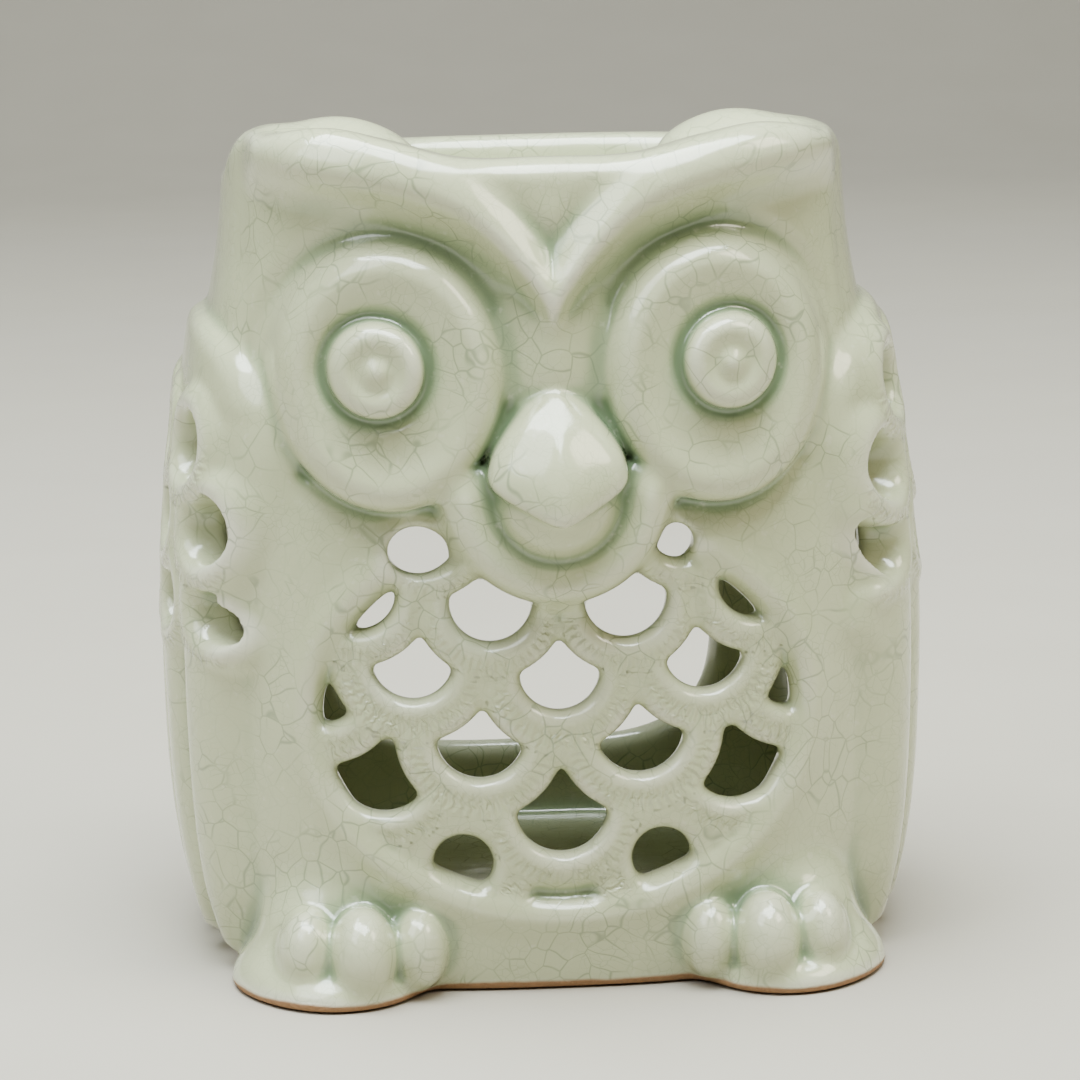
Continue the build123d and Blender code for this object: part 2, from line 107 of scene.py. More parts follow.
BOWL_DEPTH = RIM_Z - 93.0
BOWL_WALL = 3.5
BOWL_SHARE = 0.93
BOWL_POWER = 7

DOOR_HALF_WIDTH = 29.0
DOOR_SILL_Z, DOOR_TOP_Z = 15.5, 62.0
SEAM_Y = 2.0  # between the two halves of the shell
BLEND_AT_EDGES = 1.5  # rounding of the glaze on cut edges
NOWHERE = np.float32(40)  # a distance that is far from any shape

# How far the shapes drawn in front view and in side view go through: y, and x to either side
FRONT_ONLY_Y = -20
SIDES_ONLY_X = 34
BACK_ONLY_Y = 15

# Belly scales, by row from the top
BELLY_PITCHES = (17.0, 18.1, 19.7, 21.7, 24.1, 27.0)
BELLY_RADII = (8.7, 10.4, 11.4, 11.6, 11.0, 10.0)
BELLY_HOLE_RADII = (4.6, 5.5, 5.4, 5.9, 6.1, 4.0)
BELLY_ROW_PITCH = 9.6
BELLY_FIRST_ROW = 0.955  # height of the top row, as a share of the panel's half height
ROW_SAG = 0.0026
BELLY_MARGIN = 1.8  # solid clay left round the pierced part
UPPER_HOLES = ((-18.6, 61.5, 4.0, 3.2), (15.8, 61.9, 2.5, 2.4))  # x, z, half width, half height
BELLY_INSET = 2.9
BELLY_RELIEF = 2.6

# Wing scales and flight feathers
WING_FIRST_SCALES_Y = (-18.0, -25.0, -28.2)  # of the scale nearest the face, by row from the top
WING_TOP_ROW_Z = 73.5
WING_PITCH = 15.0
WING_ROW_PITCH = 10.5
WING_SCALE_RADIUS = 8.6
WING_HOLE_RADIUS = 4.6
RIGHT_WING_LIFT = 6.0
HOLE_PARING = 2.0  # how much of the wall was pared away inside, round each wing hole
FEATHERS = 5
SCALLOP_RISE = 4.0
FEATHER_RELIEF = 3.4

# Face
EYE_THICKNESS = 3.6
BROW_LINE = ((0, 90.0), (4.2, 95.5), (10.5, 101.8), (19, 105.6), (29, 107.6), (42, 109.2))  # x, z
BROW_RELIEF = 4.8
FOREHEAD_SLOPE = 2.8  # how far the forehead leans back from the brows to the rim
BEAK_TIP_Z = 65.4
RUFF_REACH = 15.5

# Meshes: a piece ends where it is thinner than this, and seams lie this far below the skin, in voxels
THINNEST_LAYER = 1.0
SEAM_COVER = 0.5
SEAM_DEPTH = 0.8

# Glaze colours, thin to thick, its cracks, the clay under it and the table
WORN = (0.68, 0.67, 0.54)
PALE = (0.49, 0.52, 0.325)
GREEN = (0.31, 0.375, 0.215)
DEEP = (0.155, 0.22, 0.12)
CRACK = (0.16, 0.21, 0.12)
CLAY = (0.42, 0.23, 0.11)
FLOOR_PALE = (0.44, 0.41, 0.35)
FLOOR_DARK = (0.41, 0.38, 0.32)

# Scratched ribs: they fade out below the outer face, over these depths
RIB_PITCH = 1.45
RIBS_FRONT_Y = -25
RIBS_SIDE_X = 40
RIBS_DEPTH = (-3.6, -2.8)

# Camera: metres, degrees turned into radians, and the lens in mm
CAMERA_DISTANCE = 0.560
CAMERA_AZIMUTH = math.radians(-4)
CAMERA_HEIGHT = 0.165
CAMERA_PITCH = math.radians(11.1)
CAMERA_ROLL = math.radians(-1.2)
CAMERA_LENS = 132.8

grid = {}


def make_grid():
    """The axes of the grid and the arrays that every other function fills in."""
    low = WHOLE_LOW - GRID_MARGIN
    high = WHOLE_HIGH + GRID_MARGIN
    axes = [np.arange(a, b, VOXEL, dtype=np.float32) for a, b in zip(low, high)]
    grid["low"] = low
    grid["axes"] = axes
    grid["shape"] = tuple(len(axis) for axis in axes)


def block(low, high):
    """(slices, x, y, z) of the part of the grid between two corners."""
    spans = []
    for axis, a, b in zip(grid["axes"], low, high):
        first, last = np.searchsorted(axis, (a, b))
        spans.append(slice(int(first), int(last)))
    x, y, z = (axis[span] for axis, span in zip(grid["axes"], spans))
    return tuple(spans), x[:, None, None], y[None, :, None], z[None, None, :]


def whole():
    """(slices, x, y, z) of the whole grid."""
    return block(WHOLE_LOW - 2 * GRID_MARGIN, WHOLE_HIGH + 2 * GRID_MARGIN)


def join(a, b, blend):
    """Union of two distances, filled along the crease like wet clay."""
    h = np.clip(0.5 + 0.5 * (b - a) / blend, 0, 1)
    return b * (1 - h) + a * h - blend * h * (1 - h)


def both(a, b, blend):
    """Intersection of two distances, with a rounded edge."""
    return -join(-a, -b, blend)


def fade(value, start, end):
    """0 at start and 1 at end, smooth at both."""
    share = np.clip((value - start) / (end - start), 0, 1)
    return share * share * (3 - 2 * share)


def superellipse(u, v, half_u, half_v, power):
    """Distance from a superellipse, nearly exact close to its outline."""
    a = np.abs(u) / half_u
    b = np.abs(v) / half_v
    r = np.maximum((a**power + b**power) ** (1 / power), 1e-3)
    steepness = (a ** (power - 1) / half_u) ** 2 + (b ** (power - 1) / half_v) ** 2
    slope = np.sqrt(steepness) * r ** (1 - power)
    return (r - 1) / np.maximum(slope, 0.6 / max(np.max(half_u), np.max(half_v)))


def ellipsoid(x, y, z, centre, radii):
    """Distance from an ellipsoid, nearly exact close to its surface."""
    u, v, w = ((p - c) / r for p, c, r in zip((x, y, z), centre, radii))
    size = np.sqrt(u * u + v * v + w * w)
    slope = np.sqrt((u / radii[0]) ** 2 + (v / radii[1]) ** 2 + (w / radii[2]) ** 2)
    return size * (size - 1) / np.maximum(slope, 1e-3)


def curve(knots, values, at):
    """A smooth curve through the knots."""
    knots, values = np.array(knots, float), np.array(values, float)
    slopes = np.gradient(values, knots)
    at = np.clip(at, knots[0], knots[-1])
    i = np.clip(np.searchsorted(knots, at) - 1, 0, len(knots) - 2)
    width = knots[i + 1] - knots[i]
    s = (at - knots[i]) / width
    start, end = values[i], values[i + 1]
    rise = s * s * (3 - 2 * s)
    lean = s * (1 - s) * ((1 - s) * slopes[i] - s * slopes[i + 1]) * width
    return (start + (end - start) * rise + lean).astype(np.float32)


# ---------------------------------------------------------------- body


def body_distance():
    """Distance from the body's outer form, before anything is added or cut."""
    _, x, y, z = whole()
    heights, widths, fronts, backs = (np.array(column) for column in zip(*BODY_PROFILE))
    width = curve(heights * HEIGHT, widths * BODY_HALF_WIDTH, z)
    front = curve(heights * HEIGHT, fronts * FRONT_REACH, z)
    back = curve(heights * HEIGHT, backs * BACK_REACH, z)
    reach = np.where(y < 0, front, back)
    form = superellipse(x, y, width, reach, SQUARENESS)
    uneven = np.sin(x / 9.1 + 1.3) * np.sin(z / 11.3 + 0.4)
    uneven = uneven + np.sin(y / 8.3 + z / 13.7) * np.sin(x / 14.9 - 0.8)
    return np.maximum(form, -30).astype(np.float32) - WOBBLE * uneven


def top_height(x, y):
    """Height of the top edge over every point of the plan."""
    offsets, rises = zip(*FOREHEAD)
    away = np.abs(x) + 0 * y
    ear = fade(y, EAR_START_Y, EAR_FULL_Y)
    tuft = box("right_ear_tuft")[0]
    dish = EAR_DISH * np.exp(-((away - tuft[0]) ** 2 / 60 + (y - tuft[1] + 7) ** 2 / 16))
    hump = EAR_HUMP * np.exp(-((away - tuft[0] + 4) ** 2 / 40 + (y - tuft[1] - 3) ** 2 / 20))
    right_ear_is_lower = fade(x, 10, 40)
    return RIM_Z + ear * (curve(offsets, rises, away) - dish + hump - right_ear_is_lower)


def bowl_height(x, y):
    """How far each point is above the oil basin's inner surface, measured square to it."""
    _, _, _, z = whole()
    centre, half = box("oil_basin")
    across, along = (x - centre[0]) / half[0], (y - centre[1]) / half[1]
    share = np.abs(across) ** SQUARENESS + np.abs(along) ** SQUARENESS
    share = share ** (1 / SQUARENESS) / BOWL_SHARE
    surface = RIM_Z - BOWL_DEPTH + BOWL_DEPTH * np.minimum(share, 1.4) ** BOWL_POWER
    slope = BOWL_DEPTH * BOWL_POWER / half[1] * np.minimum(share, 1.4) ** (BOWL_POWER - 1)
    return (z - surface) / np.sqrt(1 + slope * slope)


# ---------------------------------------------------------------- scales with holes


def scale_pattern(u, v, rows):
    """One patch of overlapping pierced scales, seen square on.

    rows lists (centres, outer radius, hole radius) from the top row down, and each row covers the next.
    Gives the distance from the holes, the relief from 0 to 1, and the phase and strength of the ribs.
    """
    shape = np.broadcast(u, v).shape
    holes = np.full(shape, 50.0, np.float32)
    relief = np.full(shape, 0.35, np.float32)
    phase = np.zeros(shape, np.float32)
    ribs = np.zeros(shape, np.float32)
    for centres, radius, hole_radius in reversed(rows):
        reaches = np.stack([np.hypot(u - cu, v - cv) for cu, cv in centres])
        angles = np.stack([np.arctan2(u - cu, cv - v) + 0 * u * v for cu, cv in centres])
        nearest = np.argmin(reaches, axis=0)[None]
        away = np.take_along_axis(reaches, nearest, 0)[0]
        angle = np.take_along_axis(angles, nearest, 0)[0]
        next_away = np.sort(reaches, axis=0)[1]
        furrow = 0.22 * np.exp(-(((next_away - away) / 2.2) ** 2))
        lip = 0.34 * np.exp(-(((away - hole_radius - 1.2) / 1.3) ** 2))
        top = 0.46 + 0.50 * fade(away, 0.35 * radius, radius) + lip - furrow
        cover = fade(radius - away, -0.9, 1.5)
        relief = relief * (1 - cover) + top * cover
        inside = away < radius
        phase = np.where(inside, angle * radius, phase)
        band = fade(away, hole_radius + 1.4, hole_radius + 2.8) * fade(radius - away, 0.2, 1.4)
        band = band * fade(next_away - away, 0.5, 3.0) * fade(np.cos(angle), -0.1, 0.4)
        ribs = np.where(inside, band, ribs * fade(away - radius, 0.0, 1.4))
        holes = np.maximum(holes, radius - away)
        holes = np.minimum(holes, away - hole_radius)
    return holes, relief.astype(np.float32), phase, ribs


def belly_rows():
    """Rows of belly scales, top row first. They sag in the middle and spread downwards."""
    centre, half = box("belly_panel")
    rows = []
    for row, pitch in enumerate(BELLY_PITCHES):
        count = 4 if row % 2 else 5
        middle = centre[2] + BELLY_FIRST_ROW * half[2] - BELLY_ROW_PITCH * row
        offsets = [(i - (count - 1) / 2) * pitch for i in range(count)]
        centres = [(x, middle + ROW_SAG * row * x * x) for x in offsets]
        rows.append((centres, BELLY_RADII[row], BELLY_HOLE_RADII[row]))
    return rows


def wing_rows(lift):
    """Rows of wing scales, top row first, all raised by lift."""
    rows = []
    for row, first in enumerate(WING_FIRST_SCALES_Y):
        height = WING_TOP_ROW_Z - WING_ROW_PITCH * row + lift
        count = 3 if row == 0 else 4
        centres = [(first + i * WING_PITCH, height) for i in range(count)]
        rows.append((centres, WING_SCALE_RADIUS, WING_HOLE_RADIUS))
    return rows


PIECES = ["front_shell", "back_shell", "base_slab", "oil_basin", "belly_panel"]


def number(name):
    """The label of a piece, from 1 up."""
    if name not in PIECES:
        PIECES.append(name)
    return PIECES.index(name) + 1


def lay(name, low, high, shape, blend, claim=1.0):
    """Joins one raised piece to the body.

    shape(x, y, z, t) gives its distance, and t is the height above the body.
    """
    spans, x, y, z = block(low, high)
    t = grid["body"][spans]
    new = shape(x, y, z, t)
    grid["solid"][spans] = join(grid["solid"][spans], new, blend)
    thick_enough = t - new > THINNEST_LAYER
    mine = (new < claim) & (t > 0) & thick_enough & (new < grid["claim"][spans])
    grid["label"][spans][mine] = number(name)
    grid["claim"][spans][mine] = np.broadcast_to(new, mine.shape)[mine]


def around(nodes, spare=3.0):
    """The corners of the box round some CAD nodes."""
    lows, highs = zip(*((c - h, c + h) for c, h in map(box, nodes)))
    return np.min(lows, axis=0) - spare, np.max(highs, axis=0) + spare


def lay_eye(side):
    """A socket, an eye disc with a rolled edge, and a pupil with one ring in it."""
    disc, half = box(side + "_eye_disc")
    pupil, pupil_half = box(side + "_pupil")
    thick = EYE_THICKNESS

    def eye_disc(x, y, z, t):
        edge = superellipse(x - disc[0], z - disc[2], half[0], half[2], 2)
        roll = 0.35 * np.exp(-(((edge + 3.2) / 1.8) ** 2))
        hollow = 1.1 * fade(-edge, 3, 9)
        return both(edge, t - (thick + 0.2 + roll - hollow), 4.6)

    def button(x, y, z, t):
        away = np.hypot(x - pupil[0], z - pupil[2])
        dip = 0.85 * np.exp(-(((away - 2.4) / 1.1) ** 2))
        peak = 0.35 * np.exp(-((away / 1.2) ** 2))
        return both(away - pupil_half[0] - 0.2, t - (thick + 2.2 - dip + peak), 3.0)

    spans, x, y, z = block(*around([side + "_eye_disc"], 5))
    edge = superellipse(x - disc[0], z - disc[2], half[0] + 2.4, half[2] + 2.4, 2)
    under_brow = fade(z, disc[2] - 6, disc[2] + 12)
    socket = (1.5 + 1.2 * under_brow) * fade(-edge, -1.6, 2.2) * (y < 0)
    grid["solid"][spans] = np.maximum(grid["solid"][spans], grid["body"][spans] + socket)
    lay(side + "_eye_disc", *around([side + "_eye_disc"]), eye_disc, 0.8)
    spans, x, y, z = block(*around([side + "_pupil"], 4))
    away = np.hypot(x - pupil[0], z - pupil[2])
    groove = 1.1 * np.exp(-(((away - pupil_half[0] - 0.9) / 1.0) ** 2))
    grid["solid"][spans] += groove * (grid["body"][spans] > 0.5)
    lay(side + "_pupil", *around([side + "_pupil"]), button, 0.6)


def lay_beak():
    """The keeled beak, the lower beak under it and the ruff round them."""
    centre, half = box("beak")
    top = centre[2] + half[2]
    heights = top - np.array((22.0, 18.0, 13.0, 10.5, 8.0, 5.5, 3.2, 0.8))
    widths = half[0] * np.array((0.92, 1.00, 1.06, 1.02, 0.88, 0.68, 0.47, 0.16))
    ridges = (10.4, 10.7, 10.3, 9.4, 8.0, 6.2, 4.2, 1.8)

    def upper(x, y, z, t):
        width = curve(heights, widths, z)
        across = np.sqrt((x / width) ** 2 + 0.03)
        facet = t - curve(heights, ridges, z) * (1.08 - 0.46 * across)
        side = (np.abs(x) - width) * 0.85
        under = (BEAK_TIP_Z + 0.55 * np.sqrt(x * x + 1.5) - z) * 0.85
        return both(both(side, facet * 0.8, 2.2), np.maximum(under, z - top + 0.8), 1.3)

    def lower(x, y, z, t):
        return ellipsoid(x, y, z, (0, -FRONT_REACH + 2.6, 68.2), (9.3, 8.6, 9.0))

    ruff, ruff_half = box("chin_ruff")
    middle_z = ruff[2] - ruff_half[2] + RUFF_REACH

    def pouch(x, y, z, t):
        away = np.hypot(x, z - middle_z)
        crest = 3.3 * np.exp(-(((away - 12.4) / 3.0) ** 2)) + 0.8
        crest = crest * (1 - 0.75 * fade(z, middle_z - 1, middle_z + 6))
        return both(away - RUFF_REACH - 0.5, (t - crest) * 0.85, 2.4)

    lay("chin_ruff", *around(["chin_ruff"], 5), pouch, 1.8)
    lay("lower_beak", *around(["lower_beak"], 4), lower, 1.2)
    lay("beak", *around(["beak"], 4), upper, 0.7)


def lay_brows():
    """Two sharp ridges that sweep up to the ears, and the raised triangle between them."""
    along, low_edge = zip(*BROW_LINE)

    def ridge(x, y, z, t):
        away = np.abs(x) + 0 * z
        above = z - curve(along, low_edge, away)
        crest = fade(above, -1.5, 4.8) * (1 - 0.80 * fade(above, 4.5, 14.0))
        crest = BROW_RELIEF * crest * (1 - fade(away, 33, 47))
        bridge = 2.3 * np.exp(-((away / 4.2) ** 2)) * fade(z, 78, 86) * (1 - fade(z, 90, 100))
        relief = np.sqrt(crest**2 + bridge**2)
        return (t - relief + 0.6 * (relief < 0.1)) * 0.85

    def triangle(x, y, z, t):
        sides = np.maximum(np.abs(x) * 0.62 - (z - 103.5) * 0.78, z - RIM_Z - 3)
        return both(sides, t - 2.6 + 0.12 * (z - 104), 3.0)

    spans, x, y, z = block((-45, WHOLE_LOW[1] - 3, 92), (45, -10, HEIGHT + 3))
    away = np.abs(x) + 0 * z
    above = z - curve(along, low_edge, away)
    slope = FOREHEAD_SLOPE * fade(above, 5, 17) * (1 - fade(away, 26, 40)) * fade(-y, 12, 24)
    cut = np.where(slope > 0.02, grid["body"][spans] + slope, -50)
    grid["solid"][spans] = np.maximum(grid["solid"][spans], cut)
    for side in ("left", "right"):
        low, high = around([side + "_brow"], 1.0)
        high[2] = HEIGHT + 3
        low[0], high[0] = (low[0] - 3, 0) if side == "left" else (0, high[0] + 3)
        low[2], high[1] = 76, -12
        lay(side + "_brow", low, high, ridge, 2.2, claim=0.6)
    lay("forehead_crest", *around(["forehead_crest"], 3), triangle, 1.8)


def lay_wing(side):
    """Scalloped, pierced coverts over long fluted flight feathers."""
    sign = -1 if side == "left" else 1
    centre, half = box(side + "_wing")
    lift = RIGHT_WING_LIFT if side == "right" else 0.0
    _, y_axis, z_axis = grid["axes"]
    y2, z2 = y_axis[:, None], z_axis[None, :]
    rows = wing_rows(lift)
    holes, relief, phase, ribs = scale_pattern(y2, z2, rows)
    wing_top, lobes_z = centre[2] + half[2], centre[2] - half[2] + SCALLOP_RISE
    middle_z, half_z = (wing_top + lobes_z) / 2, (wing_top - lobes_z) / 2
    outline = superellipse(y2 - centre[1], z2 - middle_z, half[1], half_z, 2.8)
    lobe_pitch = 2 * half[1] / FEATHERS
    for index in range(FEATHERS):
        lobe_y = centre[1] + (index + 0.5 - FEATHERS / 2) * lobe_pitch * 0.94
        lobe = superellipse(y2 - lobe_y, z2 - lobes_z - 2.5, lobe_pitch / 2 + 0.6, 6.5, 2)
        outline = join(outline, lobe, 0.6)
    relief = np.maximum(relief, 0.45 * fade(z2, centre[2] + 8, centre[2] + 14))
    feathers, feather_half = box(side + "_flight_feathers")
    bottom, top = feathers[2] - feather_half[2], centre[2]
    rise = np.clip((z2 - bottom) / (top - bottom), 0, 1)
    reach = feather_half[1] * (0.83 + 0.17 * rise)
    lane = (y2 - feathers[1]) / reach * FEATHERS / 2 + FEATHERS / 2
    across = 2 * (lane - np.floor(lane)) - 1
    width = np.clip((z2 - bottom) / 9.0, 0, 1) ** 0.7 * 0.97
    flute = np.maximum(1 - np.abs(across / np.maximum(width, 0.05)) ** 2.6, 0) ** 0.6 * (width > 0.08)
    flute = flute * (np.abs(lane - FEATHERS / 2) < FEATHERS / 2)
    grid[side + "_holes"] = np.maximum(holes, outline + 1.6)
    grid[side + "_ribs"] = phase, ribs * (outline < -1)
    low, high = around([side + "_wing"], 3)
    spans = block(low, high)[0]
    patch = (slice(None), spans[1], spans[2])

    def coverts(x, y, z, t):
        thick = 1.5 + 2.1 * relief[None][patch]
        return both(outline[None][patch] + 0 * t, t - thick, 2.6)

    def feather(x, y, z, t):
        rise = flute[None][patch]
        return (t - FEATHER_RELIEF * rise + 0.5 * (rise < 0.02)) * 0.7

    lay(side + "_wing", low, high, coverts, 1.2)
    low, high = around([side + "_flight_feathers"], 2)
    high[2] = centre[2] + 4
    low[0], high[0] = (low[0] - 2, -30) if sign < 0 else (30, high[0] + 2)
    spans = block(low, high)[0]
    patch = (slice(None), spans[1], spans[2])
    lay(side + "_flight_feathers", low, high, feather, 0.8, claim=0.5)


def lay_foot(side):
    """A pad with three toes pressed against it."""
    sign = -1 if side == "left" else 1
    pad, pad_half = box(side + "_foot")
    toes = box(side + "_toes")[0]

    def foot(x, y, z, t):
        upper = ellipsoid(x, y, z, (pad[0], pad[1] + 4.5, 4.0), (pad_half[0] + 0.8, 9.2, 13.0))
        sole = ellipsoid(x, y, z, (pad[0], pad[1] + 2.0, 1.0), (pad_half[0] + 1.6, 13.4, 5.0))
        skirt = ellipsoid(x, y, z, (pad[0] + 4.5 * sign, pad[1] + 7.0, 0.0), (10.5, 13.0, 6.0))
        return join(join(upper, sole, 4.0), skirt, 4.0)

    def toe_row(x, y, z, t):
        near = np.float32(50)
        for degrees, size in ((-36, 0.95), (1, 1.08), (37, 0.97)):
            turn = math.radians(degrees)
            cx = toes[0] + sign * (12.6 * math.sin(turn) + 0.2)
            cy = toes[1] + 12.2 - 13.0 * math.cos(turn)
            radii = (4.3 * size, 5.8 * size, 6.1 * size)
            near = join(near, ellipsoid(x, y, z, (cx, cy, 6.6), radii), 0.9)
        return near

    lay(side + "_foot", *around([side + "_foot"], 6), foot, 3.0)
    lay(side + "_toes", *around([side + "_toes"], 4), toe_row, 1.3)


# ---------------------------------------------------------------- the whole field


def carve_belly():
    """The oval of pierced scales in the front wall."""
    centre, half = box("belly_panel")
    ruff, ruff_half = box("chin_ruff")
    x2, z2 = grid["axes"][0][:, None], grid["axes"][2][None, :]
    holes, relief, phase, ribs = scale_pattern(x2, z2, belly_rows())
    oval = superellipse(x2, z2 - centre[2], half[0], half[2], 2)
    beneath_ruff = RUFF_REACH - np.hypot(x2, z2 - ruff[2] + ruff_half[2] - RUFF_REACH)
    clear = fade(-beneath_ruff, -0.5, 2.5)
    holes = np.maximum(holes, oval + BELLY_MARGIN)
    for hole_x, hole_z, half_width, half_height in UPPER_HOLES:
        hole = superellipse(x2 - hole_x, z2 - hole_z, half_width, half_height, 2)
        holes = np.minimum(holes, hole)
    holes = np.maximum(holes, beneath_ruff)
    grid["belly_ribs"] = phase, ribs * (oval < -1.5) * clear
    depth = BELLY_INSET - BELLY_RELIEF * relief
    lip = 0.9 * np.exp(-(((oval - 1.8) / 1.8) ** 2))
    change = (np.where(oval < 0, depth * fade(-oval, 0.0, 1.4), 0) - lip) * clear
    spans, _, y, _ = block(WHOLE_LOW - 5, (WHOLE_HIGH[0] + 5, FRONT_ONLY_Y, WHOLE_HIGH[2]))
    near = fade(-y, 22, 30)
    grid["solid"][spans] = grid["body"][spans] + change[:, None, :][spans[0], :, spans[2]] * near
    grid["belly_oval"] = oval
    grid["belly_holes"] = holes


def hollow_out():
    """Cuts the chamber, the bowl, the doorway and every pierced hole."""
    _, x, y, z = whole()
    solid, body = grid["solid"], grid["body"]
    bowl = bowl_height(x, y)
    solid = both(solid, z - top_height(x, y), 2.6)
    pared = np.zeros((1, 1, 1), np.float32)
    for side, sign in (("left", -1), ("right", 1)):
        near_hole = 1 - fade(grid[side + "_holes"][None], 0.5, 5.0)
        pared = pared + HOLE_PARING * near_hole * fade(sign * x, 20, 32)
    chamber = both(body + WALL - pared, bowl + BOWL_WALL, 2.0)
    solid = both(solid, -both(chamber, z - (RIM_Z - 8), 4.0), 1.5)
    floor_fill = FLOOR_Z - z
    solid = join(solid, both(body + WALL - 1, -floor_fill, 1.0), 2.5)
    tuft_fill = NOWHERE
    for side in ("left", "right"):
        centre = box(side + "_ear_tuft")[0] + TUFT_SHIFT
        tuft_fill = np.minimum(tuft_fill, ellipsoid(x, y, z, centre, TUFT_RADII))
    bowl_void = both(body + WALL - 0.6, -bowl, 2.0)
    bowl_void = both(bowl_void, -tuft_fill, 3.0)
    solid = both(solid, -bowl_void, 2.4)
    door_z, door_half_height = (DOOR_SILL_Z + DOOR_TOP_Z) / 2, (DOOR_TOP_Z - DOOR_SILL_Z) / 2
    arch = superellipse(x, z - door_z, DOOR_HALF_WIDTH, door_half_height, 3.4)
    door = np.where(y > BACK_ONLY_Y, arch + 0 * y, NOWHERE)
    solid = both(solid, -door, 3.0)
    holes = grid["belly_holes"][:, None, :]
    front = np.where(y < FRONT_ONLY_Y, holes, NOWHERE)
    solid = both(solid, -front, BLEND_AT_EDGES)
    for side, sign in (("left", -1), ("right", 1)):
        holes = grid[side + "_holes"][None]
        at_side = np.where(sign * x > SIDES_ONLY_X, holes, NOWHERE)
        solid = both(solid, -at_side, BLEND_AT_EDGES)
    solid = both(solid, 0.1 - z, 0.8)
    grid["solid"] = solid.astype(np.float32)
    grid["bowl"] = bowl
    grid["tufts"] = tuft_fill


def name_the_core():
    """Gives every voxel inside the body's outer form to the piece of clay that it is made of."""
    _, x, y, z = whole()
    body, label = grid["body"], grid["label"]
    core = np.where(y < SEAM_Y, number("front_shell"), number("back_shell")).astype(np.int8)
    free = label == 0
    label[free] = np.broadcast_to(core, label.shape)[free]
    inside = body + WALL < 0.3
    label[inside & (z > RIM_Z - 22) & (grid["bowl"] > -BOWL_WALL - 2)] = number("oil_basin")
    label[inside & (z < FLOOR_Z + 1.5)] = number("base_slab")
    label[np.broadcast_to(z < CLAY_EDGE_Z, label.shape)] = number("base_slab")
    belly = (grid["belly_oval"][:, None, :] < 0) & (y < FRONT_ONLY_Y) & (body <= 0) & ~inside
    label[belly] = number("belly_panel")
    for side, sign in (("left", -1), ("right", 1)):
        tuft = inside & (grid["tufts"] < 0.6) & (z > RIM_Z - 3.5) & (sign * x > 0)
        label[tuft] = number(side + "_ear_tuft")


def soften(field, reach):
    """A blur of the grid by about reach voxels."""
    weights = np.exp(-0.5 * (np.arange(-2 * reach, 2 * reach + 1) / reach) ** 2)
    weights /= weights.sum()
    for axis in range(3):
        margins = [(2 * reach, 2 * reach) if a == axis else (0, 0) for a in range(3)]
        padded = np.pad(field, margins, mode="edge")
        total = np.zeros_like(field)
        for shift, weight in enumerate(weights):
            window = [slice(None)] * 3
            window[axis] = slice(shift, shift + field.shape[axis])
            total += np.float32(weight) * padded[tuple(window)]
        field = total
    return field


def sculpt():
    """Builds the solid, its labels and the blurred copies that the glaze follows."""
    make_grid()
    grid["body"] = body_distance()
    grid["solid"] = grid["body"].copy()
    grid["label"] = np.zeros(grid["shape"], np.int8)
    grid["claim"] = np.full(grid["shape"], 9, np.float32)
    carve_belly()
    for side in ("left", "right"):
        lay_eye(side)
    lay_brows()
    lay_beak()
    for side in ("left", "right"):
        lay_wing(side)
        lay_foot(side)
    hollow_out()
    name_the_core()
    grid["solid"] = soften(grid["solid"], 1)
    filled = np.clip(0.5 - grid["solid"] / 2.0, 0, 1)
    fine = max(1, round(1.3 / VOXEL))
    grid["near_fill"] = soften(filled, fine)
    grid["far_fill"] = soften(grid["near_fill"], 2 * fine)


# ---------------------------------------------------------------- meshes


CORNERS = [(i, j, k) for i in (0, 1) for j in (0, 1) for k in (0, 1)]


def sample(field, points):
    """Values of a grid array between its voxels. points are in voxels."""
    base = np.clip(np.floor(points).astype(int), 0, np.array(field.shape) - 2)
    part = (points - base).astype(np.float32)
    total = np.zeros(len(points), np.float32)
    for corner in CORNERS:
        weight = np.prod(np.where(corner, part, 1 - part), axis=1)
        total += weight * field[base[:, 0] + corner[0], base[:, 1] + corner[1], base[:, 2] + corner[2]]
    return total


def net_points(label, solid):
    """One point for each cell that a surface or a seam passes through.

    Gives the cells' numbers, the points in voxels, and which of them are on a seam inside the clay.
    """
    shape = tuple(n - 1 for n in label.shape)
    active = np.zeros(shape, bool)
    for axis in range(3):
        for corner in CORNERS:
            if corner[axis]:
                continue
            start = tuple(slice(c, c + n) for c, n in zip(corner, shape))
            firsts = [c + (a == axis) for a, c in enumerate(corner)]
            end = tuple(slice(first, first + n) for first, n in zip(firsts, shape))
            active |= label[start] != label[end]
    cells = np.argwhere(active)
    total = np.zeros((len(cells), 3))
    count = np.zeros(len(cells))
    for axis in range(3):
        for corner in CORNERS:
            if corner[axis]:
                continue
            start = cells + corner
            end = start + np.eye(3, dtype=int)[axis]
            a = solid[tuple(start.T)]
            b = solid[tuple(end.T)]
            crosses = (a < 0) != (b < 0)
            share = np.where(crosses, a / np.where(crosses, a - b, 1), 0)
            point = start + share[:, None] * np.eye(3)[axis]
            total[crosses] += point[crosses]
            count[crosses] += 1
    inner = count == 0
    points = np.where(inner[:, None], cells + 0.5, total / np.maximum(count, 1)[:, None])
    ids = np.full(shape, -1, np.int32)
    ids[tuple(cells.T)] = np.arange(len(cells))
    return ids, points, inner


